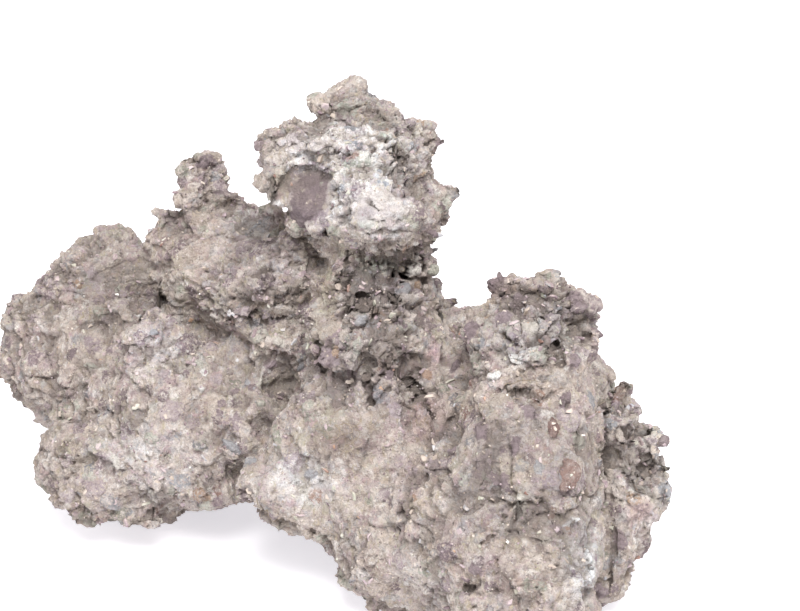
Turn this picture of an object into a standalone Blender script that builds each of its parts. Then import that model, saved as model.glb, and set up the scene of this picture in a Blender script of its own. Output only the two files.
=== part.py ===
"""An ibigawa rock with one chimney, as one solid.

The rock is a mass of angular shale chips cemented in a sandy matrix. It stands on three low feet.
Sizes are in millimetres, and MM turns them into Blender's metres. +Z is up and the front faces -Y.
The tables place every mass in one frame, with z = 0 on the resting plane. The finished rock is then
moved so that the middle of its box is over the origin.
"""

import itertools
import math
import random

import bmesh
import bpy
from mathutils import Euler, Matrix, Vector, noise

MM = 0.001
SEED = 41

# Subdivisions of a ball, and the gap between a limb's balls as a share of their radius
BALL_DETAIL = 3
LIMB_STEP = 0.35

# Cell size of the working surfaces, passes of smoothing, and triangles in the finished solid
BLEND_VOXEL = 1.7 * MM
FINE_VOXEL = 1.15 * MM
BLEND_PASSES = 5
TRIANGLES = 9600

# Tapering limbs: each station is x, y, z and radius, in millimetres
LIMBS = {
    "chimney": [
        (-4, 4, 52, 29), (-6, 10, 72, 23), (-7, 18, 88, 17.5), (-8, 22, 99, 17), (-13, 29, 114, 20),
    ],
    "front_knob": [
        (33, -47, 9, 20), (35, -53, 28, 23), (37, -43, 51, 22), (38, -28, 72, 20), (41, -14, 86, 17.5),
    ],
    "back_horn": [(-58, 58, 84, 17), (-62, 62, 96, 9), (-64, 65, 105, 6.5), (-65, 66, 108, 6)],
    "mid_buttress": [(-78, 14, 30, 15), (-78, 20, 50, 12.5), (-77, 24, 64, 10.5)],
    "right_shoulder": [(60, -27, 13, 13), (62, -18, 26, 15), (65, -11, 40, 15.5), (67, -7, 52, 11)],
}

# Single masses: centre x, y, z and radii x, y, z, in millimetres
LUMPS = {
    "head_core": ((-14, 30, 122), (25, 21, 17)),
    "head_left_brow": ((-29, 32, 128), (13, 12, 9)),
    "head_left_corner": ((-34, 22, 120), (10, 12, 7)),
    "head_front_bulge": ((-5, 13, 113), (17, 12, 12)),
    "head_peak": ((-15, 46, 134), (13, 13, 10)),
    "head_right_brow": ((0, 36, 126), (11, 12, 9)),
    "head_right_lip": ((9, 24, 115), (8, 9, 6)),
    "saddle": ((14, -1, 60), (20, 19, 17)),
    "notch_back": ((17, 34, 65), (14, 12, 10)),
    "front_slope": ((-9, -5, 42), (33, 26, 31)),
    "front_slope_low": ((6, -28, 22), (28, 20, 22)),
    "knob_root": ((18, -37, 33), (21, 21, 30)),
    "knob_root_high": ((19, -21, 54), (16, 15, 19)),
    "knob_left_step": ((28, -16, 85), (10, 12, 10)),
    "nose": ((-36, -13, 36), (11, 13, 11)),
    "left_mass": ((-65, 27, 36), (34, 27, 27)),
    "left_low": ((-94, 26, 24), (26, 23, 16)),
    "left_back": ((-93, 46, 46), (27, 22, 26)),
    "left_foot": ((-82, 38, 9), (27, 19, 13)),
    "ridge": ((-56, 55, 76), (28, 19, 24)),
    "ridge_right": ((-37, 46, 85), (18, 15, 13)),
    "ridge_step": ((-74, 60, 87), (9, 10, 7)),
    "ridge_slope": ((-34, 35, 67), (25, 18, 27)),
    "ridge_fill": ((-30, 37, 86), (14, 12, 14)),
    "far_lobe": ((-97, 64, 67), (24, 20, 19)),
    "far_end": ((-117, 58, 46), (17, 22, 27)),
    "shoulder_bulge": ((71, -15, 36), (9, 11, 15)),
    "shoulder_join": ((58, -13, 51), (10, 13, 14)),
    "shoulder_root": ((52, -22, 26), (15, 18, 24)),
    "back_body": ((-22, 54, 44), (50, 30, 38)),
    "back_right": ((38, 30, 38), (34, 30, 33)),
    "back_right_foot": ((46, 42, 9), (27, 19, 13)),
}

# Hollows weathered into the rock: centre and radii, in millimetres
HOLLOWS = {
    "under_nose": ((-42, -22, 8), (25, 24, 20)),
    "left_arch": ((-58, 8, 0), (13, 22, 12)),
    "heel_pit": ((-70, 2, 9), (7, 9, 8)),
    "notch_cave": ((21, 17, 73), (9, 10, 8)),
    "neck_undercut": ((-27, 9, 105), (6, 7, 5)),
    "chimney_crack": ((-8, -18, 66), (1.8, 5, 6)),
    "ridge_crack": ((-38, 20, 82), (12, 4, 2)),
    "mass_gully": ((-46, -2, 56), (6, 7, 14)),
    "step_gully": ((-98, 34, 66), (8, 9, 8)),
    "shoulder_gap": ((58, -37, 40), (4, 6, 22)),
    "knob_pit": ((54, -26, 82), (4, 4, 4)),
    "shoulder_pit": ((75, -28, 30), (4, 5, 5)),
    "back_cave": ((2, 86, 34), (17, 16, 13)),
    "back_pocket": ((-62, 82, 52), (11, 10, 12)),
    "back_cleft": ((22, 58, 62), (8, 14, 12)),
    "right_pocket": ((72, 30, 34), (10, 11, 11)),
    "belly": ((-16, 14, 0), (34, 26, 11)),
}

# Chips that stand out of the outline: centre, then length, width and thickness in millimetres,
# then turn in degrees
PROUD_CHIPS = {
    "head_fin": ((-43, 30, 130), (9, 6, 3), (10, 68, 20)),
    "head_ledge": ((-37, 30, 134), (15, 10, 5), (12, -14, 10)),
    "head_corner": ((-39, 22, 120), (11, 10, 7), (25, 20, 35)),
    "head_plate": ((-24, 12, 116), (17, 9, 13), (-8, 28, -12)),
    "head_crest": ((-16, 50, 143), (15, 12, 7), (5, -20, 15)),
    "head_knuckle": ((9, 37, 131), (9, 9, 7), (20, 10, 40)),
    "head_hook": ((15, 24, 117), (9, 7, 5), (5, -28, 25)),
    "head_spur": ((13, 23, 109), (7, 6, 4), (0, 35, 15)),
    "neck_chip_right": ((7, 18, 99), (8, 6, 5), (10, 20, 70)),
    "neck_plate": ((-20, -6, 78), (9, 5, 15), (-14, 8, -20)),
    "horn_cap": ((-65, 66, 111), (12, 9, 5), (0, 8, 10)),
    "ridge_chip": ((-52, 57, 102), (8, 8, 6), (15, 25, 0)),
    "ridge_tooth": ((-42, 49, 98), (7, 7, 5), (10, 20, 30)),
    "step_chip": ((-78, 62, 93), (9, 8, 5), (5, 12, 25)),
    "far_chip": ((-96, 68, 86), (14, 11, 6), (8, 6, 15)),
    "knob_brow": ((32, -12, 101), (13, 11, 8), (15, -18, 20)),
    "knob_tooth": ((46, -7, 103), (9, 6, 4), (10, 22, -15)),
    "knob_hook": ((51, -12, 97), (15, 8, 6), (12, 42, -12)),
    "knob_ear": ((53, -16, 84), (8, 8, 10), (15, 15, 25)),
    "shoulder_spike": ((69, -3, 62), (7, 6, 7), (20, 30, 15)),
    "shoulder_chip": ((76, -10, 50), (8, 7, 8), (10, 30, 20)),
    "shoulder_pebble": ((80, -20, 35), (6, 6, 11), (5, 5, 10)),
    "nose_lip": ((-44, -16, 39), (10, 10, 9), (10, 25, 15)),
    "nose_heel": ((-36, -22, 29), (12, 10, 7), (20, 38, 10)),
    "slope_plate": ((6, -40, 40), (16, 9, 12), (-20, 5, 10)),
    "buttress_brow": ((-82, 17, 68), (13, 9, 9), (10, 15, 10)),
    "left_lip": ((-82, 2, 14), (15, 8, 7), (10, 5, 10)),
    "left_lip_end": ((-100, 6, 14), (15, 9, 8), (5, -5, -10)),
}

# Chips all over the rock: how many, then their shortest and longest length in millimetres
SCATTERED = ((60, 9, 15), (140, 6, 9))
WIDTH_SHARE = (0.55, 0.9)
THICKNESS_SHARE = (0.25, 0.5)
TIP_SPREAD = 0.45

# A chip is the hull of a box whose corners are pulled in, with one point left on each of four sides
CORNER_PULL = (0.45, 1)
SIDE_SPREAD = (-0.55, 0.55)

# Rounded relief: wavelength and height in millimetres, then how the finer octaves follow
SWELL = (34, 3.2)
LUMPY = (13, 2.4)
FALL_OFF = 0.8
LACUNARITY = 2.1
OCTAVES = 3

# Broken relief: block size and height in millimetres, then the shares of each block's level and tilt
BLOCK = (11, 11, 7)
BROKEN_HEIGHT = 1.7
LEVEL_SHARE = 0.7
TILT_SHARE = 0.8


def turned(degrees):
    """The rotation for three angles in degrees."""
    return Euler([math.radians(angle) for angle in degrees]).to_matrix().to_4x4()


def ball(bm, centre, radii):
    """Adds an ellipsoid. Its centre and radii are in millimetres."""
    place = Matrix.Translation(Vector(centre) * MM)
    stretch = Matrix.Diagonal((*[radius * MM for radius in radii], 1))
    bmesh.ops.create_icosphere(bm, subdivisions=BALL_DETAIL, radius=1, matrix=place @ stretch)


def limb(bm, stations):
    """Adds a chain of balls that taper from station to station."""
    for (*start, r0), (*end, r1) in zip(stations, stations[1:]):
        start, end = Vector(start), Vector(end)
        count = max(2, math.ceil((end - start).length / (LIMB_STEP * min(r0, r1))))
        for i in range(count + 1):
            share = i / count
            ball(bm, start.lerp(end, share), [r0 + (r1 - r0) * share] * 3)


def chip(bm, centre, size, turn, rng):
    """Adds an angular chip. Its centre is in metres and its size in millimetres."""
    corners = itertools.product((-1, 1), repeat=3)
    points = [[way * rng.uniform(*CORNER_PULL) for way in corner] for corner in corners]
    points += [[rng.uniform(*SIDE_SPREAD), rng.uniform(*SIDE_SPREAD), side] for side in (-1, 1)]
    points += [[side, rng.uniform(*SIDE_SPREAD), rng.uniform(*SIDE_SPREAD)] for side in (-1, 1)]
    stretch = Matrix.Diagonal((*[extent * MM / 2 for extent in size], 1))
    place = Matrix.Translation(centre) @ turn @ stretch
    verts = [bm.verts.new(place @ Vector(point)) for point in points]
    hull = bmesh.ops.convex_hull(bm, input=verts)
    inside = {v for v in hull["geom_interior"] if isinstance(v, bmesh.types.BMVert)}
    bmesh.ops.delete(bm, geom=list(inside), context="VERTS")


def mesh_of(bm, name):
    """A mesh holding the bmesh, which is then freed."""
    mesh = bpy.data.meshes.new(name)
    bm.to_mesh(mesh)
    bm.free()
    return mesh


def object_of(mesh, name):
    obj = bpy.data.objects.new(name, mesh)
    bpy.context.scene.collection.objects.link(obj)
    return obj


def applied(obj):
    """The object's mesh with its modifiers applied. The object itself is removed."""
    graph = bpy.context.evaluated_depsgraph_get()
    mesh = bpy.data.meshes.new_from_object(obj.evaluated_get(graph))
    bpy.data.objects.remove(obj)
    return mesh


def fused(mesh, voxel, smoothing=0):
    """One closed surface round everything in the mesh."""
    obj = object_of(mesh, "fusing")
    remesh = obj.modifiers.new("fuse", "REMESH")
    remesh.mode = "VOXEL"
    remesh.voxel_size = voxel
    if smoothing:
        smooth = obj.modifiers.new("smooth", "SMOOTH")
        smooth.iterations = smoothing
    return applied(obj)


def wavy_relief(point, wave):
    """Height of rounded relief at a point, in millimetres."""
    wavelength, height = wave
    return height * noise.fractal(point / wavelength, FALL_OFF, LACUNARITY, OCTAVES)


def broken_relief(point):
    """Height of broken relief at a point, in millimetres. Each block has its own level and tilt."""
    place = Vector(coordinate / size for coordinate, size in zip(point, BLOCK))
    block = noise.voronoi(place)[1][0]
    level = noise.cell(block)
    tilt = noise.cell_vector(block) * 2 - Vector((1, 1, 1))
    return BROKEN_HEIGHT * (LEVEL_SHARE * level + TILT_SHARE * (place - block).dot(tilt))


def roughened(mesh):
    """The mesh with each point moved along its normal by the height of the relief there."""
    bm = bmesh.new()
    bm.from_mesh(mesh)
    bm.normal_update()
    places = []
    for vert in bm.verts:
        point = vert.co / MM
        height = wavy_relief(point, SWELL) + wavy_relief(point, LUMPY) + broken_relief(point)
        places.append(vert.co + vert.normal * height * MM)
    for vert, place in zip(bm.verts, places):
        vert.co = place
    return mesh_of(bm, "rough")


def massed():
    """The limbs and lumps, blended into one smooth mass."""
    bm = bmesh.new()
    for stations in LIMBS.values():
        limb(bm, stations)
    for centre, radii in LUMPS.values():
        ball(bm, centre, radii)
    return fused(mesh_of(bm, "masses"), BLEND_VOXEL, BLEND_PASSES)


def hollow_cutter():
    """One closed cutter in the shape of all the hollows."""
    bm = bmesh.new()
    for centre, radii in HOLLOWS.values():
        ball(bm, centre, radii)
    cutter = object_of(fused(mesh_of(bm, "hollows"), BLEND_VOXEL), "hollows")
    cutter.hide_render = True
    cutter.display_type = "WIRE"
    return cutter


def hollowed(mesh):
    """The mesh less the hollows, on an even surface again."""
    cutter = hollow_cutter()
    obj = object_of(mesh, "hollowing")
    cut = obj.modifiers.new("cut", "BOOLEAN")
    cut.operation = "DIFFERENCE"
    cut.object = cutter
    carved = applied(obj)
    bpy.data.objects.remove(cutter)
    return fused(carved, BLEND_VOXEL)


def seats(bm, rng):
    """Picks places for the scattered chips, evenly by area: centre, outward direction and length."""
    faces = list(bm.faces)
    areas = [face.calc_area() for face in faces]
    found = []
    for count, shortest, longest in SCATTERED:
        for face in rng.choices(faces, areas, k=count):
            found.append((face.calc_center_median(), face.normal.copy(), rng.uniform(shortest, longest)))
    return found


def with_chips(mesh):
    """The mesh with every chip added as a closed shape of its own, sunk by half its thickness."""
    rng = random.Random(SEED)
    bm = bmesh.new()
    bm.from_mesh(mesh)
    bm.normal_update()
    for centre, outward, length in seats(bm, rng):
        size = (length, length * rng.uniform(*WIDTH_SHARE), length * rng.uniform(*THICKNESS_SHARE))
        spin = Matrix.Rotation(rng.uniform(0, math.tau), 4, "Z")
        tip = Matrix.Rotation(rng.gauss(0, TIP_SPREAD), 4, "X")
        lie = outward.to_track_quat("Z", "Y").to_matrix().to_4x4()
        chip(bm, centre, size, lie @ spin @ tip, rng)
    for centre, size, degrees in PROUD_CHIPS.values():
        chip(bm, Vector(centre) * MM, size, turned(degrees), rng)
    return mesh_of(bm, "chipped")


def thinned(mesh):
    """The mesh brought down to its number of triangles, with its edges and flats kept."""
    obj = object_of(mesh, "thinning")
    obj.modifiers.new("triangulate", "TRIANGULATE")
    collapse = obj.modifiers.new("collapse", "DECIMATE")
    collapse.use_collapse_triangulate = True
    collapse.ratio = TRIANGLES / (2 * len(mesh.polygons))
    return applied(obj)


def cut_flat(mesh):
    """The mesh cut off flat at the resting plane."""
    bm = bmesh.new()
    bm.from_mesh(mesh)
    everything = bm.verts[:] + bm.edges[:] + bm.faces[:]
    bmesh.ops.bisect_plane(bm, geom=everything, plane_co=(0, 0, 0), plane_no=(0, 0, 1), clear_inner=True)
    rims = [edge for edge in bm.edges if edge.is_boundary]
    bmesh.ops.holes_fill(bm, edges=rims, sides=0)
    bmesh.ops.triangulate(bm, faces=bm.faces[:])
    bmesh.ops.recalc_face_normals(bm, faces=bm.faces[:])
    return mesh_of(bm, "rock")


def set_over_origin(obj):
    """Moves the object so that its box is centred over the origin."""
    for axis in (0, 1):
        spread = [vert.co[axis] for vert in obj.data.vertices]
        obj.location[axis] = -(min(spread) + max(spread)) / 2


def breccia():
    """Dry grey-brown rock with no shine."""
    material = bpy.data.materials.new("breccia")
    material.use_nodes = True
    shader = material.node_tree.nodes["Principled BSDF"]
    shader.inputs["Base Color"].default_value = (0.4, 0.35, 0.32, 1)
    shader.inputs["Roughness"].default_value = 0.9
    shader.inputs["Metallic"].default_value = 0
    return material


def main():
    for obj in list(bpy.data.objects):
        bpy.data.objects.remove(obj)
    chipped = with_chips(roughened(hollowed(massed())))
    rock = object_of(cut_flat(thinned(fused(chipped, FINE_VOXEL))), "rock")
    rock.data.materials.append(breccia())
    set_over_origin(rock)


main()
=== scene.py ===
"""An ibigawa rock with one chimney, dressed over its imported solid.

The gritty matrix takes the place of the solid. Angular chips of shale, slate, chalk and other stones
are bedded in it, with grit between them and a few dry rootlets. Lengths are in millimetres unless a
comment says otherwise, and MM turns them into Blender's metres.
"""

import itertools
import math
import random

import bmesh
import bpy
from mathutils import Matrix, Vector, noise
from mathutils.bvhtree import BVHTree
from mathutils.kdtree import KDTree


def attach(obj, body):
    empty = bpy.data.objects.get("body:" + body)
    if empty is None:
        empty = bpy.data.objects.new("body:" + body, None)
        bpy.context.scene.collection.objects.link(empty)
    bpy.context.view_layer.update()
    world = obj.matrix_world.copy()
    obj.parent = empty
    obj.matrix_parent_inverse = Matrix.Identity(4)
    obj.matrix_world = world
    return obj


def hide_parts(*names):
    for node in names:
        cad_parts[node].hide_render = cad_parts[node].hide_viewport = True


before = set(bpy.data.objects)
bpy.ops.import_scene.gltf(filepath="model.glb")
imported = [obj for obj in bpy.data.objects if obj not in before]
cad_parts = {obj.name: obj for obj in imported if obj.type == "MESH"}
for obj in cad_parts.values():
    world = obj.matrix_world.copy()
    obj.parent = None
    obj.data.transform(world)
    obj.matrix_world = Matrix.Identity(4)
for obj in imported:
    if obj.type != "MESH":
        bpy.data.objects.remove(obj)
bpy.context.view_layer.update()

MM = 0.001
SEED = 7

# The photograph's camera: what it looks at, in metres, how far off it stands and how high
TARGET = Vector((0.02689, -0.00506, 0.09))
DISTANCE = 0.6
ELEVATION = math.radians(24)
PICTURE = (800, 611)
FOCAL_PIXELS = 1980
SENSOR = 36

# Light: the pale room, one soft lamp over the front, and a floor lit from below like a light table
ROOM_COLOUR = (1, 0.99, 0.985, 1)
ROOM_STRENGTH = 1.0
LAMP_PLACE = Vector((0.08, -0.55, 0.95))
LAMP_SIZE = 0.5
LAMP_POWER = 15
FLOOR_SIZE = 8
FLOOR_COLOUR = (0.7, 0.69, 0.7, 1)
FLOOR_GLOW = (0.95, 0.94, 1, 1)
FLOOR_GLOW_STRENGTH = 0.6

# Working surfaces: cell sizes and passes of smoothing
SHAPE_VOXEL = 1.7
SHAPE_SMOOTHING = 2
FINE_VOXEL = 0.65
FINE_SMOOTHING = 0

# The matrix is cut into slabs from left to right, each a piece of its own. Each small
# enough for one piece
SLAB_EDGES = (-0.052, -0.012, 0.026, 0.060)
ON_THE_PLANE = 0.01
PULL_TO_PLANE = 0.15
CAP_INSET = 0.05
CAP_DEPTH = 3
SINK_STEP = 0.4
SINK_STEPS = 16
SLABS = ("matrix_far_left", "matrix_left", "matrix_middle", "matrix_right", "matrix_far_right")

# Relief: blocks of a size and height with crevices of a depth between them, then waves, crust and pits.
# Chips keep the heights of the large blocks, and a share of the fine relief.
LARGE_BLOCKS = ((13.0, 1.3, 1.8), (6.5, 0.9, 1.3))
FINE_BLOCKS = ((3.0, 0.55, 0.8), (1.5, 0.3, 0.35))
LEVEL_SHARE = 0.8
TILT_SHARE = 1.0
GAP_WIDTH = 0.16
BLOCK_BENDS = ((0.6, 0.2), (0.22, 0.09))
GAP_WAVE = 12

# Bedding: which way its sheets face on the chimney and below it, and how much thinner the chimney's are
HIGH_BEDDING = Vector((-0.2, 0.1, 1)).normalized()
LOW_BEDDING = Vector((0.75, 0.1, 0.6)).normalized()
BEDDING_HEIGHTS = (60, 85)
BEDDING_MIDDLE = Vector((0, 0, 72))
BEDDING_THINNING = 0.8
BEDDING_SWAY = (16, 0.9)
BEDDING_PULL = 0.45
SWELL = (9, 0.6)
CRUST = (1.5, 0.4)
PITS = (3.4, 1.5, 0.3)
STONE_RELIEF = 0.35
CALM_WAVE = 22
CALM_SHARE = 0.45

# Blocks of the relief, from large to small: the share that shows its stone, how clearly, and its colours
BLOCK_SHARES = (0.3, 0.42, 0.45, 0.2)
BLOCK_COVER = 0.8
BLOCK_PICK = Vector((31.7, 17.3, 5.9))
BLOCK_STONES = (
    (0.29, 0.225, 0.235), (0.45, 0.37, 0.38), (0.55, 0.465, 0.415), (0.70, 0.62, 0.57), (0.43, 0.42, 0.425),
    (0.50, 0.485, 0.42), (0.82, 0.76, 0.72), (0.49, 0.335, 0.28), (0.62, 0.55, 0.50), (0.39, 0.32, 0.30),
    (0.36, 0.28, 0.29), (0.66, 0.61, 0.60),
)

# How deep a spot reaches into the picture as a share of its size, and how wide its soft edges are
DEPTH_SHARE = 1.3
EDGE_SHARE = 0.35
STAIN_EDGE = 0.6

# How open the surface is to the air: rays cast from each place, and how far they look
RAYS = 9
REACH = 8
LIFT = 0.3

# Stones: their share of all chips
SHARES = {"shale": 0.47, "slate": 0.09, "chalk": 0.006, "sage": 0.16, "rust": 0.04, "tan": 0.228}

# Chips: how many, shortest and longest, width and thickness as shares of the length, tilt, and how much
# of the thickness is sunk. The cemented ones are one with the matrix.
CEMENTED = (
    (420, 6.5, 12.0, (0.5, 0.85), (0.22, 0.4), 0.25, 0.72),
    (1500, 3.2, 6.5, (0.5, 0.9), (0.28, 0.5), 0.35, 0.66),
)
LOOSE = (2600, 0.9, 2.3, (0.5, 0.9), (0.35, 0.6), 0.6, 0.72)
FLAKES = (1100, 1.6, 4.2, (0.4, 0.8), (0.12, 0.25), 0.7, 0.72)
STONE_SKIN = 0.45
TINTS = (0.15, 0.9)
BATCH = 50

GRIT_COUNT = 19000
GRIT_SIZES = (0.35, 1.0)
GRIT_HELD = 1.1
GRIT = {"sand_grit": ("tan", 0.5), "mauve_grit": ("shale", 0.47), "pale_grit": ("chalk", 0.03)}

# Rootlets in the photograph: pixel, heading in degrees and number of steps. More are strewn over the rock.
ROOTS = (
    (322, 258, -80, 26), (328, 270, -95, 22), (318, 282, -70, 18), (335, 425, -10, 24), (350, 432, 12, 26),
    (345, 446, -4, 20), (330, 440, 25, 18), (262, 508, -85, 16), (255, 500, -60, 14), (300, 300, -40, 14),
    (400, 262, -15, 18), (452, 300, -35, 16), (365, 120, 20, 14), (280, 150, -60, 12), (500, 380, 40, 16),
)
ROOT_STRANDS = 3
ROOTS_STREWN = 90
ROOT_STEPS = (8, 26)
ROOT_STEP = 0.55
ROOT_RADIUS = 0.075
ROOT_LIFT = (0.05, 0.3)
ROOT_BEND = 0.12
ROOT_WANDER = 0.22
ROOT_SPREAD = 1.2
ROOT_COLOURS = ((0.35, (0.20, 0.15, 0.10)), (0.55, (0.42, 0.34, 0.25)), (0.7, (0.58, 0.50, 0.40)))

# Mounds and dents: the pixel of the photograph, how wide and tall they look there, their turn in
# degrees, and their height in millimetres
MOUNDS = {
    "front_bulge": (380, 210, 104, 82, -8, 6.0),
    "bulge_brow": (372, 190, 70, 22, 8, 1.5),
    "ledge_crust": (298, 144, 90, 22, -4, 4.0),
    "left_corner": (272, 150, 30, 30, 0, 1.5),
    "upper_crest": (352, 96, 50, 24, 10, 0.8),
    "under_bulge_lip": (395, 252, 60, 12, -6, 1.6),
    "slope_lump": (471, 300, 26, 22, 0, 2.0),
    "knob_brow": (520, 285, 70, 30, 15, 1.8),
    "knob_cheek": (590, 340, 22, 26, 0, 2.0),
    "shoulder_cheek": (650, 440, 30, 40, 0, 1.5),
    "nose_lip": (268, 490, 24, 34, 0, 2.0),
    "buttress_cap": (150, 330, 44, 22, 0, 2.0),
    "ridge_fill": (282, 262, 84, 110, 0, 8.0),
    "ridge_fill_low": (230, 300, 110, 70, 20, 5.0),
    "scree_fill": (280, 372, 90, 120, 0, 7.0),
    "scree_fill_low": (262, 425, 60, 80, 0, 5.0),
    "groove_fill": (462, 375, 60, 120, 0, 4.0),
    "groove_fill_low": (470, 460, 60, 100, 0, 2.5),
    "crest_left": (304, 120, 84, 44, 35, 3.5),
    "crest_corner": (270, 142, 24, 24, 0, 1.5),
    "ridge_end": (276, 206, 50, 30, 0, 4.0),
    "far_notch": (142, 240, 34, 22, 0, 2.5),
    "low_left_fill": (165, 497, 150, 28, 0, 3.5),
    "crest_right": (400, 108, 84, 34, -38, 2.5),
    "hook": (456, 190, 22, 20, 0, 2.5),
    "horn_left": (192, 188, 44, 76, 0, 5.5),
    "ridge_top": (172, 218, 60, 32, 35, 4.4),
    "ridge_right_top": (256, 196, 80, 28, -10, 5.0),
    "far_top": (118, 236, 60, 20, 0, 2.5),
    "neck_right": (436, 240, 16, 70, 0, 1.5),
    "knob_top": (530, 280, 70, 20, 0, 0.8),
    "shoulder_top": (628, 384, 44, 24, 0, 2.5),
    "shoulder_right": (664, 440, 36, 80, 0, 3.5),
    "beak": (579, 300, 36, 18, -58, 4.2),
    "knob_bump": (596, 342, 20, 26, 0, 1.5),
    "shoulder_low": (664, 520, 30, 70, 0, 2.0),
}
DENTS = {
    "facet": (306, 196, 66, 74, -30, 4.0),
    "facet_hollow": (324, 232, 12, 16, 0, 2.5),
    "under_bulge": (384, 284, 120, 34, 0, 3.0),
    "under_hook": (448, 224, 20, 30, 0, 2.0),
    "column_edge": (610, 470, 16, 190, -3, 3.0),
    "under_beak": (592, 320, 16, 14, 0, 4.0),
    "crown": (345, 84, 110, 36, 0, 2.5),
    "knob_crown": (532, 268, 60, 22, 0, 1.6),
    "low_corner": (352, 602, 50, 40, 0, 4.0),
    "notch_hollow": (443, 316, 34, 22, -10, 5.5),
    "neck_left": (326, 262, 22, 60, 0, 1.8),
    "knob_waist": (545, 400, 110, 26, -10, 2.5),
    "knob_left": (452, 345, 16, 70, -15, 2.5),
    "slope_step": (352, 372, 60, 20, 20, 2.5),
}

# Narrow cracks and pits, cut into the finished shape: as above
CUTS = {
    "slit": (405, 278, 9, 34, -20, 4.0),
    "slit_low": (398, 296, 20, 7, 30, 3.0),
    "neck_hollow": (362, 296, 20, 9, -25, 3.0),
    "neck_gap": (345, 270, 5, 44, -6, 2.5),
    "neck_gap_right": (424, 268, 5, 36, 10, 2.5),
    "under_head": (326, 232, 8, 12, 0, 4.0),
    "neck_slit": (360, 305, 34, 5, -12, 1.8),
    "slope_crack": (369, 392, 9, 36, 8, 4.0),
    "slab_crack": (318, 350, 6, 44, 4, 2.5),
    "slab_crack_right": (346, 338, 5, 30, -35, 2.0),
    "slope_seam": (384, 372, 5, 44, -28, 1.8),
    "ridge_crack": (288, 297, 50, 8, 30, 3.0),
    "ridge_crack_low": (250, 318, 6, 26, 12, 2.0),
    "knob_pit": (588, 337, 9, 12, 0, 3.0),
    "knob_side": (560, 352, 10, 30, 10, 2.0),
    "knob_seam": (520, 392, 50, 6, -12, 2.0),
    "knob_hole": (541, 318, 16, 9, 30, 1.6),
    "shoulder_pit": (628, 430, 18, 10, 20, 2.5),
    "shoulder_pit_low": (645, 462, 10, 14, 20, 2.5),
    "hollow_left": (231, 322, 14, 12, 0, 2.5),
    "slit_left": (170, 315, 14, 5, -30, 2.0),
    "front_seam": (425, 400, 5, 60, 30, 2.0),
    "front_pit": (487, 540, 22, 6, 35, 1.4),
    "front_pit_low": (470, 590, 26, 7, -20, 1.4),
    "bulge_seam": (372, 205, 26, 4, -40, 1.2),
    "bulge_lip": (392, 232, 60, 4, 6, 1.2),
    "head_seam": (335, 150, 40, 4, -25, 1.2),
    "head_pit": (400, 158, 22, 5, -30, 1.2),
    "nose_pit": (312, 532, 10, 14, 0, 2.0),
    "column_seam": (606, 455, 6, 130, -2, 2.5),
    "column_seam_low": (612, 560, 5, 80, -4, 2.0),
}
# How strongly painted shade darkens the cuts
CUT_DARKNESS = 0.75

# Places with little relief and few chips: pixel, width and height in pixels, turn, and how smooth
CALM = {
    "nose": (300, 485, 140, 110, 0, 0.5),
    "low_front": (420, 560, 280, 170, 0, 0.35),
    "low_right": (590, 560, 130, 170, 0, 0.4),
    "sandy_patch": (338, 438, 120, 56, -8, 0.6),
    "low_left": (150, 460, 190, 150, 0, 0.35),
    "far_left": (115, 300, 110, 150, 0, 0.35),
    "buttress": (160, 345, 90, 90, 0, 0.3),
    "bulge": (386, 218, 96, 76, 0, 0.52),
    "facet": (305, 200, 60, 76, -25, 0.7),
    "ridge": (215, 250, 110, 90, 0, 0.15),
}

# Places that are rougher than the rest: as above
ROUGH = {
    "neck": (382, 290, 130, 130, 0, 0.7),
    "slope": (376, 372, 120, 90, 0, 0.5),
    "knob": (530, 325, 140, 110, 0, 0.4),
    "head": (350, 130, 190, 90, 0, 0.35),
    "shoulder": (640, 440, 70, 130, 0, 0.4),
}

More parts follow.
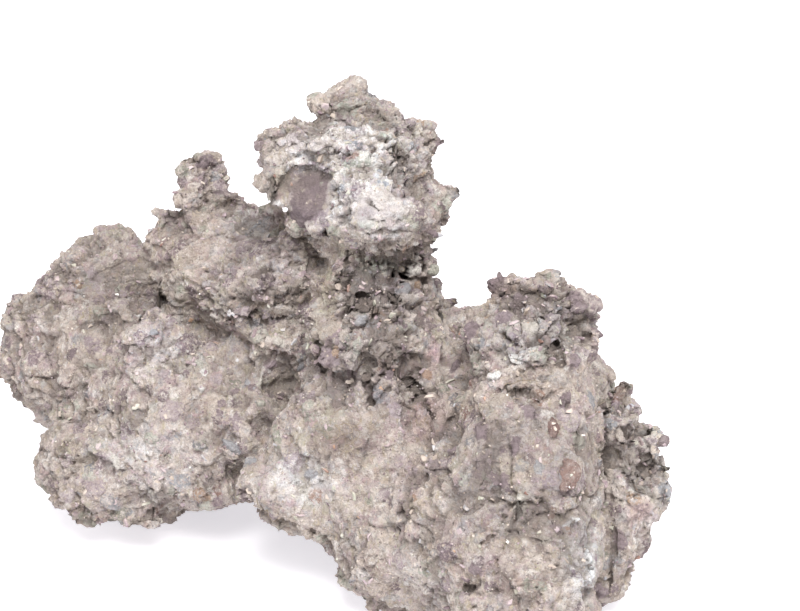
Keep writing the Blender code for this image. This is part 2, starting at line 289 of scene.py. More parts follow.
# Chips that the photograph shows clearly: stone, pixel, length and width in pixels, turn in degrees,
# tint, and how many millimetres they stand out
KEY_CHIPS = (
    ("shale", 310, 192, 80, 56, 66, 0.16, 0.2), ("shale", 318, 214, 34, 20, -50, 0.45, 0.5),
    ("shale", 345, 118, 26, 14, -20, 0.55, 0.6), ("slate", 352, 128, 18, 12, 10, 0.5, 0.5),
    ("shale", 350, 160, 22, 10, 5, 0.3, 0.7), ("rust", 352, 159, 18, 8, 5, 0.35, 0.9),
    ("slate", 383, 172, 12, 8, 0, 0.55, 0.5), ("slate", 415, 146, 14, 9, -40, 0.6, 0.5),
    ("shale", 421, 245, 16, 11, -60, 0.4, 0.8), ("chalk", 415, 265, 14, 19, 0, 0.55, 0.8),
    ("rust", 417, 287, 6, 16, 0, 0.9, 0.4), ("sage", 370, 262, 30, 12, -12, 0.75, 0.7),
    ("shale", 378, 289, 26, 15, -20, 0.35, 0.6), ("slate", 398, 293, 20, 16, 30, 0.4, 0.6),
    ("slate", 366, 322, 26, 12, -12, 0.75, 0.7), ("rust", 375, 311, 20, 6, -15, 0.75, 0.6),
    ("shale", 332, 348, 46, 30, 65, 0.5, 0.8), ("rust", 338, 352, 8, 14, 10, 0.9, 1.0),
    ("shale", 386, 370, 34, 16, -65, 0.25, 0.7), ("slate", 377, 399, 14, 16, 0, 0.45, 0.3),
    ("shale", 471, 299, 20, 16, 0, 0.6, 1.2), ("shale", 497, 281, 26, 22, 0, 0.35, 0.8),
    ("shale", 491, 285, 14, 12, 0, 0.05, 1.2), ("shale", 574, 300, 34, 15, -58, 0.4, 1.2),
    ("chalk", 494, 377, 12, 9, 10, 0.9, 1.0), ("chalk", 515, 359, 26, 9, -18, 0.75, 0.8),
    ("rust", 567, 474, 20, 36, -8, 0.3, 1.1), ("rust", 553, 428, 10, 22, 0, 0.1, 1.0),
    ("chalk", 520, 505, 20, 26, 0, 0.35, 1.2), ("chalk", 574, 522, 26, 8, 25, 0.9, 1.0),
    ("chalk", 590, 560, 9, 40, 5, 0.9, 0.8), ("slate", 664, 494, 12, 22, 10, 0.75, 1.4),
    ("slate", 609, 425, 16, 12, 0, 0.8, 0.7), ("shale", 640, 452, 14, 16, 30, 0.15, 0.5),
    ("chalk", 636, 492, 16, 10, -30, 0.5, 0.7), ("slate", 310, 475, 18, 12, 0, 0.7, 0.6),
    ("chalk", 297, 482, 12, 10, 0, 0.85, 0.8), ("shale", 251, 387, 12, 8, 0, 0.5, 0.7),
    ("rust", 231, 322, 10, 6, 0, 0.3, 0.5), ("slate", 230, 445, 34, 10, -35, 0.65, 0.9),
    ("chalk", 115, 463, 12, 16, 0, 0.4, 1.0), ("slate", 155, 332, 12, 7, 0, 0.8, 0.8),
    ("chalk", 278, 203, 6, 6, 0, 1.0, 0.6), ("shale", 271, 364, 16, 12, 20, 0.5, 0.7),
    ("chalk", 260, 381, 8, 16, 0, 0.35, 0.8), ("chalk", 280, 343, 12, 10, 0, 0.3, 0.7),
    ("chalk", 205, 310, 8, 8, 0, 0.4, 0.6), ("chalk", 204, 372, 7, 7, 0, 0.9, 0.6),
    ("chalk", 202, 390, 6, 6, 0, 0.9, 0.6), ("chalk", 142, 316, 12, 6, 0, 0.9, 0.8),
    ("shale", 432, 232, 13, 9, -30, 0.3, 1.8), ("slate", 434, 250, 12, 8, 20, 0.3, 1.6),
    ("sage", 431, 268, 14, 8, -15, 0.5, 1.6), ("shale", 435, 286, 12, 9, 10, 0.2, 1.8),
    ("tan", 433, 302, 12, 8, -40, 0.3, 1.6), ("shale", 441, 205, 16, 8, -60, 0.3, 1.5),
    ("tan", 452, 190, 20, 9, -20, 0.3, 2.0), ("shale", 263, 142, 10, 18, -20, 0.45, 2.0),
    ("tan", 538, 277, 14, 9, 20, 0.5, 1.2), ("sage", 548, 276, 12, 9, -30, 0.5, 1.3),
    ("shale", 583, 306, 22, 9, -65, 0.4, 2.6), ("tan", 626, 386, 7, 14, 15, 0.3, 1.4),
    ("sage", 634, 389, 6, 12, -20, 0.3, 1.4), ("tan", 598, 336, 14, 10, 60, 0.6, 1.8),
    ("shale", 661, 438, 14, 10, 60, 0.3, 1.8), ("sage", 668, 470, 10, 18, 5, 0.2, 1.8),
    ("shale", 202, 163, 26, 14, 30, 0.2, 1.2), ("tan", 213, 160, 20, 12, 10, 0.4, 1.2),
    ("shale", 440, 140, 16, 12, 0, 0.5, 1.6), ("slate", 372, 92, 18, 12, -40, 0.4, 1.2),
    ("tan", 296, 178, 6, 4, 20, 0.5, 0.8), ("tan", 306, 172, 5, 4, 0, 0.4, 0.9), ("tan", 302, 190, 6, 5, 40, 0.6, 0.8),
    ("tan", 315, 180, 5, 3, -30, 0.5, 0.9), ("tan", 292, 186, 7, 5, 60, 0.35, 0.8), ("tan", 318, 196, 4, 4, 0, 0.6, 0.9),
    ("tan", 310, 202, 5, 4, 10, 0.45, 0.8), ("sage", 322, 184, 6, 4, 30, 0.5, 0.9), ("tan", 325, 206, 6, 4, 70, 0.5, 0.8),
    ("shale", 520, 300, 26, 18, 20, 0.3, 0.8), ("shale", 545, 292, 30, 16, -40, 0.45, 1.0),
    ("slate", 560, 308, 20, 12, -50, 0.4, 0.9), ("shale", 505, 318, 18, 22, 10, 0.5, 0.8),
    ("chalk", 530, 330, 14, 20, -20, 0.2, 0.8), ("shale", 575, 360, 20, 14, 60, 0.55, 0.8),
    ("sage", 545, 350, 22, 16, 30, 0.55, 0.7), ("shale", 470, 330, 20, 24, 0, 0.35, 0.8),
    ("slate", 484, 345, 18, 12, -20, 0.55, 0.7), ("tan", 500, 400, 24, 14, 10, 0.6, 0.7),
    ("shale", 530, 410, 26, 16, -20, 0.5, 0.7), ("shale", 480, 430, 20, 26, 15, 0.4, 0.7),
    ("slate", 590, 400, 16, 24, 0, 0.5, 0.6), ("sage", 580, 440, 18, 22, 10, 0.65, 0.7),
    ("shale", 455, 450, 24, 16, 30, 0.5, 0.6), ("shale", 500, 480, 22, 18, -30, 0.3, 0.7),
    ("chalk", 545, 540, 18, 12, 20, 0.1, 0.7), ("shale", 475, 570, 20, 14, 0, 0.45, 0.7),
    ("shale", 620, 540, 20, 26, 10, 0.5, 0.8), ("tan", 610, 470, 18, 22, -10, 0.6, 0.7),
    ("shale", 600, 590, 16, 22, 0, 0.6, 0.6), ("sage", 440, 575, 18, 12, 20, 0.7, 0.6),
    ("shale", 352, 372, 40, 14, 62, 0.35, 0.7), ("shale", 405, 352, 26, 12, -60, 0.3, 0.8),
    ("rust", 425, 372, 20, 10, -50, 0.75, 0.7), ("shale", 398, 322, 30, 10, -35, 0.2, 0.7),
    ("slate", 300, 365, 20, 8, 70, 0.35, 0.6), ("shale", 455, 365, 22, 10, 65, 0.25, 0.7),
    ("tan", 480, 395, 20, 9, 60, 0.8, 0.7), ("shale", 515, 445, 24, 10, 75, 0.4, 0.7),
    ("slate", 540, 470, 20, 9, -70, 0.6, 0.6), ("shale", 565, 400, 22, 10, 70, 0.3, 0.7),
)
NORMAL_SHARE = 0.6
KEY_THICKNESS = 0.5
KEY_RISE = 1.5

# Stains, and spots of painted shade on the neck and in the notch: pixel, width and height in pixels, turn in degrees,
# colour and strength
STAINS_AND_SHADE = {
    "head": (350, 165, 200, 180, 0, (1.0, 0.95, 0.93), 0.78),
    # The neck's own darker stone, partly painted shade under the head
    "neck": (378, 300, 110, 100, 0, (0.46, 0.415, 0.40), 0.7),
    "slope": (372, 375, 150, 130, 0, (0.40, 0.335, 0.325), 0.66),
    "front": (520, 470, 190, 170, 0, (0.31, 0.265, 0.252), 0.7),
    "knob": (525, 320, 140, 100, 0, (0.40, 0.36, 0.355), 0.62),
    "ridge": (240, 250, 150, 120, 0, (0.60, 0.51, 0.475), 0.6),
    "far": (115, 290, 120, 140, 0, (0.34, 0.28, 0.245), 0.75),
    "shoulder": (640, 470, 80, 170, 0, (1.0, 0.92, 0.87), 0.79),
    "sandy_patch": (340, 440, 110, 46, -8, (0.30, 0.24, 0.20), 0.84),
    "olive_scree": (290, 395, 60, 70, 0, (0.40, 0.36, 0.26), 0.5),
    "olive_neck": (330, 290, 28, 76, 0, (0.47, 0.42, 0.28), 0.65),
    "sage_neck": (386, 266, 60, 26, -6, (0.56, 0.58, 0.50), 0.7),
    "ochre_ledge": (282, 182, 26, 44, 0, (0.58, 0.49, 0.36), 0.75),
    "facet": (309, 192, 66, 66, -20, (0.27, 0.205, 0.195), 0.92),
    "facet_heart": (318, 182, 30, 30, 0, (0.20, 0.15, 0.15), 0.6),
    "lilac_under_facet": (304, 219, 34, 10, -35, (0.40, 0.34, 0.36), 0.6),
    "pink_crown": (500, 286, 50, 40, 0, (0.40, 0.27, 0.26), 0.7),
    "pink_low": (640, 512, 42, 40, 0, (0.62, 0.42, 0.41), 0.7),
    "red_slope": (430, 420, 60, 76, 0, (0.45, 0.29, 0.285), 0.72),
    "red_slope_low": (410, 480, 60, 50, -40, (0.56, 0.42, 0.40), 0.5),
    "pink_chip": (433, 356, 16, 46, 0, (0.74, 0.55, 0.54), 0.8),
    "pink_patch": (405, 390, 24, 16, 0, (0.80, 0.68, 0.64), 0.7),
    "pale_nose": (300, 480, 110, 80, 0, (0.82, 0.76, 0.73), 0.84),
    "white_nose": (322, 482, 50, 16, -15, (0.92, 0.89, 0.87), 0.6),
    "blue_nose": (310, 474, 22, 8, -20, (0.46, 0.49, 0.55), 0.8),
    "pale_bulge": (382, 214, 96, 76, 0, (0.76, 0.70, 0.675), 0.84),
    "lilac_bulge": (364, 214, 34, 22, 10, (0.54, 0.48, 0.52), 0.65),
    "lilac_bulge_right": (404, 228, 26, 18, -20, (0.56, 0.49, 0.525), 0.65),
    "tan_bulge": (390, 196, 36, 16, 0, (0.66, 0.585, 0.53), 0.5),
    "pale_ledge": (300, 144, 84, 22, 0, (0.88, 0.80, 0.78), 0.7),
    "lilac_curl": (292, 138, 26, 18, 0, (0.78, 0.70, 0.74), 0.7),
    "pale_brow": (400, 132, 70, 60, 0, (0.82, 0.74, 0.68), 0.6),
    "grey_crest": (350, 100, 50, 40, 0, (0.50, 0.46, 0.43), 0.6),
    "pale_front": (582, 560, 56, 120, 0, (0.78, 0.76, 0.76), 0.8),
    "white_streak": (572, 523, 44, 6, 22, (0.95, 0.95, 0.95), 0.85),
    "white_streak_low": (588, 560, 7, 60, 8, (0.93, 0.93, 0.93), 0.85),
    "cream_pebble": (520, 506, 26, 34, 0, (0.80, 0.75, 0.65), 0.95),
    "pale_left": (140, 455, 140, 90, 0, (0.74, 0.665, 0.63), 0.75),
    "pale_low_left": (160, 495, 170, 40, 0, (0.66, 0.585, 0.55), 0.6),
    "white_left": (112, 462, 16, 22, 30, (0.86, 0.80, 0.77), 0.6),
    "pale_buttress": (155, 350, 74, 84, 0, (0.80, 0.715, 0.70), 0.79),
    "brown_ridge": (185, 240, 90, 90, 0, (0.56, 0.45, 0.38), 0.6),
    "grey_ridge": (250, 225, 60, 50, 0, (0.52, 0.50, 0.48), 0.6),
    "mauve_ridge": (270, 265, 70, 60, 0, (0.44, 0.37, 0.38), 0.5),
    # Painted shadow on the neck under the overhanging head
    "painted_neck_shadow": (388, 300, 80, 40, 0, (0.27, 0.235, 0.245), 0.35),
    # Painted shade: near black in the deep notch hollow
    "notch_hollow": (443, 316, 32, 20, -10, (0.07, 0.06, 0.045), 0.95),
    "brown_shoulder": (640, 450, 50, 50, 0, (0.62, 0.53, 0.46), 0.4),
    "grey_shoulder": (615, 415, 30, 36, 0, (0.55, 0.54, 0.53), 0.6),
    "grey_knob": (560, 330, 70, 70, 0, (0.50, 0.47, 0.46), 0.5),
    "pale_knob": (520, 350, 60, 50, 0, (0.76, 0.73, 0.72), 0.5),
    "brown_front": (470, 400, 70, 80, 0, (0.42, 0.33, 0.275), 0.66),
    "brown_low_front": (500, 560, 60, 70, 0, (0.46, 0.38, 0.35), 0.6),
    "mauve_low_front": (452, 540, 60, 60, 0, (0.56, 0.46, 0.45), 0.5),
    "pale_low_front": (420, 580, 80, 60, 0, (0.84, 0.77, 0.72), 0.6),
    "ochre_knob": (520, 470, 70, 40, 0, (0.66, 0.56, 0.44), 0.5),
}


def turned_to(outward, spin, tip):
    """A rotation that stands a shape on a surface: spun round the outward direction, then tipped over."""
    lie = outward.to_track_quat("Z", "Y").to_matrix().to_4x4()
    return lie @ Matrix.Rotation(spin, 4, "Z") @ Matrix.Rotation(tip, 4, "X")


def mesh_of(bm, name):
    """A mesh holding the bmesh, which is then freed."""
    mesh = bpy.data.meshes.new(name)
    bm.to_mesh(mesh)
    bm.free()
    return mesh


def tree_of(mesh):
    """A tree for casting rays on the mesh."""
    bm = bmesh.new()
    bm.from_mesh(mesh)
    tree = BVHTree.FromBMesh(bm)
    bm.free()
    return tree


def object_of(mesh, name):
    obj = bpy.data.objects.new(name, mesh)
    bpy.context.scene.collection.objects.link(obj)
    return obj


def applied(obj, name):
    """The object's mesh with its modifiers applied. The object itself is removed."""
    graph = bpy.context.evaluated_depsgraph_get()
    mesh = bpy.data.meshes.new_from_object(obj.evaluated_get(graph))
    mesh.name = name
    bpy.data.objects.remove(obj)
    return mesh


# Camera, light and floor

def add_camera():
    camera = bpy.data.cameras.new("camera")
    camera.sensor_width = SENSOR
    camera.lens = FOCAL_PIXELS / PICTURE[0] * SENSOR
    stand = object_of(camera, "camera")
    back = Vector((0, -math.cos(ELEVATION), math.sin(ELEVATION)))
    stand.location = TARGET + back * DISTANCE
    stand.rotation_euler = (-back).to_track_quat("-Z", "Y").to_euler()
    bpy.context.scene.camera = stand
    bpy.context.view_layer.update()
    return stand


def add_light():
    world = bpy.data.worlds.new("room")
    world.use_nodes = True
    background = world.node_tree.nodes["Background"]
    background.inputs["Color"].default_value = ROOM_COLOUR
    background.inputs["Strength"].default_value = ROOM_STRENGTH
    bpy.context.scene.world = world
    bpy.context.scene.view_settings.view_transform = "Standard"
    lamp = bpy.data.lights.new("lamp", "AREA")
    lamp.energy = LAMP_POWER
    lamp.size = LAMP_SIZE
    stand = object_of(lamp, "lamp")
    stand.location = LAMP_PLACE
    stand.rotation_euler = (TARGET - LAMP_PLACE).to_track_quat("-Z", "Y").to_euler()


def add_floor():
    bm = bmesh.new()
    bmesh.ops.create_grid(bm, x_segments=1, y_segments=1, size=FLOOR_SIZE / 2)
    floor = object_of(mesh_of(bm, "floor"), "floor")
    material, _, shader = started("floor", 0.8)
    shader.inputs["Base Color"].default_value = FLOOR_COLOUR
    shader.inputs["Emission Color"].default_value = FLOOR_GLOW
    shader.inputs["Emission Strength"].default_value = FLOOR_GLOW_STRENGTH
    floor.data.materials.append(material)


# Materials

def node(tree, kind, inputs=None, **settings):
    """Adds a node. Its inputs are filled by name or number, with a value or with another node's output."""
    made = tree.nodes.new(kind)
    for name, value in settings.items():
        setattr(made, name, value)
    for name, value in (inputs or {}).items():
        if isinstance(value, bpy.types.NodeSocket):
            tree.links.new(value, made.inputs[name])
        else:
            made.inputs[name].default_value = value
    return made


def ramp(tree, factor, stops, interpolation="LINEAR"):
    """A colour ramp's output. Its stops are (place, colour)."""
    made = node(tree, "ShaderNodeValToRGB", {"Fac": factor})
    elements = made.color_ramp.elements
    made.color_ramp.interpolation = interpolation
    while len(elements) < len(stops):
        elements.new(1)
    for element, (place, colour) in zip(elements, stops):
        element.position = place
        element.color = (*colour, 1)
    return made.outputs["Color"]


def level(tree, value, low, high):
    """A value stretched so that low becomes 0 and high becomes 1."""
    made = node(tree, "ShaderNodeMapRange", {"Value": value, "From Min": low, "From Max": high})
    return made.outputs["Result"]


def times(tree, a, b):
    return node(tree, "ShaderNodeMath", {0: a, 1: b}, operation="MULTIPLY").outputs[0]


def mixed(tree, factor, a, b, blend="MIX"):
    """Colour a with colour b laid over it."""
    made = node(tree, "ShaderNodeMix", data_type="RGBA", blend_type=blend)
    for socket, value in ((made.inputs[0], factor), (made.inputs[6], a), (made.inputs[7], b)):
        if isinstance(value, bpy.types.NodeSocket):
            tree.links.new(value, socket)
        else:
            socket.default_value = value if isinstance(value, (int, float)) else (*value, 1)
    return made.outputs[2]


def attribute(tree, name, output="Fac"):
    return node(tree, "ShaderNodeAttribute", attribute_name=name).outputs[output]


def millimetres(tree):
    """Object coordinates in millimetres."""
    place = node(tree, "ShaderNodeTexCoord").outputs["Object"]
    return node(tree, "ShaderNodeVectorMath", {0: place, "Scale": 1 / MM}, operation="SCALE").outputs[0]


def grain(tree, place, size, detail=3, roughness=0.6, turn=None):
    """Noise whose features are about so many millimetres."""
    inputs = {"Vector": place, "Scale": 1 / size, "Detail": detail, "Roughness": roughness}
    if turn is None:
        return node(tree, "ShaderNodeTexNoise", inputs).outputs["Fac"]
    inputs["W"] = turn
    return node(tree, "ShaderNodeTexNoise", inputs, noise_dimensions="4D").outputs["Fac"]


def started(name, roughness):
    """A new material with its tree and its shader."""
    material = bpy.data.materials.new(name)
    material.use_nodes = True
    tree = material.node_tree
    shader = tree.nodes["Principled BSDF"]
    shader.inputs["Roughness"].default_value = roughness
    return material, tree, shader


def bumped(tree, shader, height, depth):
    """Gives the shader a relief so many millimetres deep."""
    bump = node(tree, "ShaderNodeBump", {"Height": height, "Distance": depth * MM, "Strength": 1})
    tree.links.new(bump.outputs["Normal"], shader.inputs["Normal"])


# Sandy ground, from deep to pale, and the colours of the grains in it
GROUND = ((0.34, (0.40, 0.315, 0.26)), (0.5, (0.61, 0.51, 0.44)), (0.64, (0.80, 0.71, 0.64)))
GRAINS = (
    (0.0, (0.22, 0.165, 0.17)), (0.14, (0.44, 0.355, 0.37)), (0.34, (0.54, 0.45, 0.37)),
    (0.54, (0.72, 0.64, 0.57)), (0.68, (0.42, 0.43, 0.45)), (0.78, (0.52, 0.37, 0.33)),
    (0.88, (0.76, 0.70, 0.65)), (0.96, (0.56, 0.42, 0.29)),
)
BURIED = (0.42, 0.35, 0.33)
# Painted shade for hollows, low places, cuts and the pits of the fine bump; also the colour of the dark crack lines
SHADE_AND_GRIME = (0.15, 0.115, 0.095)
DUST = (0.78, 0.69, 0.63)

# Patches of the ground: colour, their size in millimetres, where the noise starts them, and strength
PATCHES = (
    ((0.49, 0.335, 0.355), 8, 0.52, 0.8),
    ((0.385, 0.40, 0.425), 6, 0.56, 0.75),
    ((0.44, 0.415, 0.28), 9, 0.55, 0.65),
    ((0.92, 0.88, 0.84), 5, 0.57, 0.85),
    ((0.55, 0.37, 0.22), 7, 0.65, 0.6),
    ((0.20, 0.155, 0.16), 5, 0.63, 0.7),
)
PATCH_EDGE = 0.05

# Thin streaks along the ground's sheets: colour, size, where the noise starts them, and strength
STREAKS = (
    ((0.47, 0.40, 0.24), 1.5, 0.57, 0.6),
    ((0.86, 0.83, 0.78), 1.1, 0.6, 0.7),
    ((0.25, 0.21, 0.20), 0.9, 0.6, 0.55),
)
STREAK_TURN = (0.5, 0.6, 0.3)
STREAK_STRETCH = (1, 0.7, 0.22)
STAIN_BASE = (0.60, 0.51, 0.455)
STAIN_COVER = 0.5
CLEAR_COVER = 0.8
CRACKS = (7, 0.03, 0.5)
FILM = (0.46, 0.41, 0.385)
FILM_SHARE = 0.13


def matrix_material():
    """Sandy cement full of small grains and cemented chips, darkened with painted shade in its hollows, low places and
    cuts, and pale on its high places.
    """
    material, tree, shader = started("gritty_matrix", 0.92)
    place = millimetres(tree)
    wobble = node(tree, "ShaderNodeTexNoise", {"Vector": place, "Scale": 1.1, "Detail": 2}).outputs["Color"]
    bent = node(tree, "ShaderNodeVectorMath", {0: wobble, 1: (1.2, 1.2, 1.2), 2: place}, operation="MULTIPLY_ADD")
    bent = bent.outputs[0]
    ground = ramp(tree, grain(tree, place, 5, 7, 0.72), GROUND)
    for turn, (patch, size, start, strength) in enumerate(PATCHES, 1):
        edge = level(tree, grain(tree, place, size, 6, 0.66, turn), start, start + PATCH_EDGE)
        ground = mixed(tree, times(tree, edge, strength), ground, patch)
    stain_edge = level(tree, grain(tree, place, 3, 4, 0.65), 0.44, 0.56)
    settled = times(tree, times(tree, attribute(tree, "stain_and_shade", "Alpha"), stain_edge), STAIN_COVER)
    ground = mixed(tree, settled, ground, attribute(tree, "stain_and_shade", "Color"))
    block = attribute(tree, "block", "Color")
    shows = times(tree, attribute(tree, "block", "Alpha"), level(tree, grain(tree, place, 1.1, 5, 0.75), 0.42, 0.54))
    ground = mixed(tree, shows, ground, block)
    sheets = node(tree, "ShaderNodeMapping", {"Vector": bent, "Rotation": STREAK_TURN, "Scale": STREAK_STRETCH})
    for turn, (streak, size, start, strength) in enumerate(STREAKS, 1):
        edge = level(tree, grain(tree, sheets.outputs[0], size, 3, 0.7, turn), start, start + PATCH_EDGE)
        ground = mixed(tree, times(tree, edge, strength), ground, streak)
    coarse = node(tree, "ShaderNodeTexVoronoi", {"Vector": bent, "Scale": 1 / 1.9})
    fine = node(tree, "ShaderNodeTexVoronoi", {"Vector": bent, "Scale": 1 / 0.8})
    coarse_pick = node(tree, "ShaderNodeSeparateColor", {"Color": coarse.outputs["Color"]})
    fine_pick = node(tree, "ShaderNodeSeparateColor", {"Color": fine.outputs["Color"]})
    coarse_colour = ramp(tree, coarse_pick.outputs[0], GRAINS, "CONSTANT")
    fine_colour = ramp(tree, fine_pick.outputs[0], GRAINS, "CONSTANT")
    has_coarse = level(tree, coarse_pick.outputs[1], 0.62, 0.66)
    has_fine = level(tree, fine_pick.outputs[1], 0.4, 0.45)
    lively = level(tree, attribute(tree, "calm"), 1.05, 0.1)
    colour = mixed(tree, times(tree, times(tree, has_fine, 0.32), lively), ground, fine_colour)
    colour = mixed(tree, times(tree, times(tree, has_coarse, 0.5), lively), colour, coarse_colour)
    stone_mottle = ramp(tree, grain(tree, bent, 1.3, 5, 0.7), ((0.34, (0.18, 0.18, 0.18)), (0.66, (0.82, 0.82, 0.82))))
    stone = mixed(tree, 0.7, attribute(tree, "stone", "Color"), stone_mottle, "SOFT_LIGHT")
    bare = level(tree, grain(tree, place, 1.4, 5, 0.75), 0.58, 0.47)
    cover = level(tree, attribute(tree, "stone", "Alpha"), 0.35, 0.65)
    clear = level(tree, attribute(tree, "stone", "Alpha"), 1.2, 1.8)
    bare = node(tree, "ShaderNodeMath", {0: bare, 1: times(tree, clear, 0.8)}, operation="MAXIMUM").outputs[0]
    colour = mixed(tree, times(tree, cover, bare), colour, stone)
    open_air = attribute(tree, "open")
    high = level(tree, attribute(tree, "height"), 0.2, 1.1)
    dusty = times(tree, high, level(tree, grain(tree, place, 2.5, 4, 0.7), 0.4, 0.6))
    colour = mixed(tree, times(tree, dusty, 0.5), colour, DUST)
    # The stains tint the colour here, and so does the painted shade on the neck and in the notch
    stain_and_shade = attribute(tree, "stain_and_shade", "Color")
    strength = attribute(tree, "stain_and_shade", "Alpha")
    tint = node(tree, "ShaderNodeVectorMath", {0: stain_and_shade, 1: STAIN_BASE}, operation="DIVIDE").outputs[0]
    colour = mixed(tree, times(tree, strength, 0.7), colour, tint, "MULTIPLY")
    colour = mixed(tree, times(tree, level(tree, strength, 0.8, 0.95), 0.6), colour, stain_and_shade)
    worn = level(tree, grain(tree, place, 1.6, 6, 0.75), 0.6, 0.44)
    colour = mixed(tree, times(tree, times(tree, clear, worn), CLEAR_COVER), colour, stone)
    spacing, width, strength = CRACKS
    wander = node(tree, "ShaderNodeTexNoise", {"Vector": place, "Scale": 0.25, "Detail": 5}).outputs["Color"]
    cracked = node(tree, "ShaderNodeVectorMath", {0: wander, 1: (9, 9, 9), 2: place}, operation="MULTIPLY_ADD").outputs[0]
    seam = node(tree, "ShaderNodeTexVoronoi", {"Vector": cracked, "Scale": 1 / spacing}, feature="DISTANCE_TO_EDGE")
    crack = times(tree, level(tree, seam.outputs["Distance"], width, 0), level(tree, grain(tree, place, 12), 0.46, 0.56))
    colour = mixed(tree, times(tree, crack, strength), colour, SHADE_AND_GRIME)
    sand = grain(tree, place, 0.5, 5, 0.8)
    # Painted shade in the low spots of the fine bump, which is made from the same noise
    pit_shade = level(tree, sand, 0.48, 0.34)
    colour = mixed(tree, times(tree, pit_shade, 0.58), colour, SHADE_AND_GRIME)
    # Painted shade, darker where the relief lies low
    low = level(tree, attribute(tree, "height"), -0.25, -1.5)
    colour = mixed(tree, times(tree, low, 0.6), colour, SHADE_AND_GRIME)
    # Painted shade: darker where rays find the place hidden from the air, in hollows and crevices
    hollow_shade = level(tree, open_air, 0.55, 0.08)
    colour = mixed(tree, times(tree, hollow_shade, 0.8), colour, SHADE_AND_GRIME)
    # Painted shade inside the narrow cracks and pits that were cut
    cut_shade = times(tree, attribute(tree, "cut"), level(tree, grain(tree, place, 1.6, 3), 0.33, 0.48))
    colour = mixed(tree, times(tree, cut_shade, CUT_DARKNESS), colour, SHADE_AND_GRIME)
    colour = mixed(tree, FILM_SHARE, colour, FILM)
    tree.links.new(colour, shader.inputs["Base Color"])
    height = node(tree, "ShaderNodeMath", {0: fine.outputs["Distance"], 1: -0.6, 2: sand}, operation="MULTIPLY_ADD")
    bumped(tree, shader, height.outputs[0], 1.0)
    return material


CHIP_DUST = (0.60, 0.51, 0.45)

# Colours of each stone, from its darkest chips to its palest
STONES = {
    "shale": ((0, (0.11, 0.075, 0.088)), (0.4, (0.24, 0.175, 0.195)), (0.8, (0.43, 0.345, 0.37)), (1, (0.58, 0.50, 0.51))),
    "slate": ((0, (0.13, 0.128, 0.14)), (0.5, (0.30, 0.30, 0.32)), (1, (0.52, 0.53, 0.56))),
    "chalk": ((0, (0.58, 0.52, 0.44)), (0.5, (0.72, 0.68, 0.62)), (1, (0.94, 0.92, 0.90))),
    "sage": ((0, (0.22, 0.22, 0.165)), (0.5, (0.40, 0.40, 0.33)), (1, (0.60, 0.595, 0.52))),
    "rust": ((0, (0.18, 0.09, 0.077)), (0.5, (0.31, 0.18, 0.14)), (1, (0.46, 0.31, 0.20))),
    "tan": ((0, (0.30, 0.24, 0.19)), (0.5, (0.44, 0.37, 0.315)), (1, (0.54, 0.47, 0.41))),
}


def chip_material(name, stops, dust_share):
    """Dull stone. Each chip has its own tint, mottling and sand stuck to it, and painted shade where it lies hidden
    from the air.
    """
    material, tree, shader = started(name, 0.78)
    place = millimetres(tree)
    tint = attribute(tree, "tint")
    turn = times(tree, tint, 60)
    colour = ramp(tree, tint, stops)
    mottle = grain(tree, place, 1.6, 4, 0.65, turn)
    colour = mixed(tree, 0.5, colour, ramp(tree, mottle, ((0.3, (0.25, 0.25, 0.25)), (0.7, (0.75, 0.75, 0.75)))), "SOFT_LIGHT")
    specks = level(tree, grain(tree, place, 0.6, 2, 0.5, turn), 0.62, 0.7)
    colour = mixed(tree, times(tree, specks, 0.45), colour, CHIP_DUST)
    upward = node(tree, "ShaderNodeSeparateXYZ", {0: node(tree, "ShaderNodeTexCoord").outputs["Normal"]}).outputs[2]
    lying = level(tree, upward, -0.6, 0.9)
    dusty = times(tree, lying, level(tree, grain(tree, place, 2.6, 4, 0.7), 0.38, 0.66))
    colour = mixed(tree, times(tree, dusty, dust_share), colour, CHIP_DUST)
    # Painted shade: darker where the chip lies hidden from the air
    hollow_shade = level(tree, attribute(tree, "open"), 0.7, 0.15)
    colour = mixed(tree, times(tree, hollow_shade, 0.75), colour, SHADE_AND_GRIME)
    tree.links.new(colour, shader.inputs["Base Color"])
    bumped(tree, shader, grain(tree, place, 0.7, 4, 0.7, turn), 0.25)
    return material


# The matrix

def merged_solid():
    """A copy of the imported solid's mesh, with its loose triangles joined."""
    bm = bmesh.new()
    bm.from_mesh(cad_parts["rock"].data)
    bmesh.ops.remove_doubles(bm, verts=bm.verts[:], dist=0.01 * MM)
    return mesh_of(bm, "solid")


def evened(mesh, voxel, smoothing, name):
    """The mesh as one closed surface with cells of one size."""
    obj = object_of(mesh, name)
    remesh = obj.modifiers.new("even", "REMESH")
    remesh.mode = "VOXEL"
    remesh.voxel_size = voxel * MM
    smooth = obj.modifiers.new("soften", "SMOOTH")
    smooth.iterations = smoothing
    return applied(obj, name)


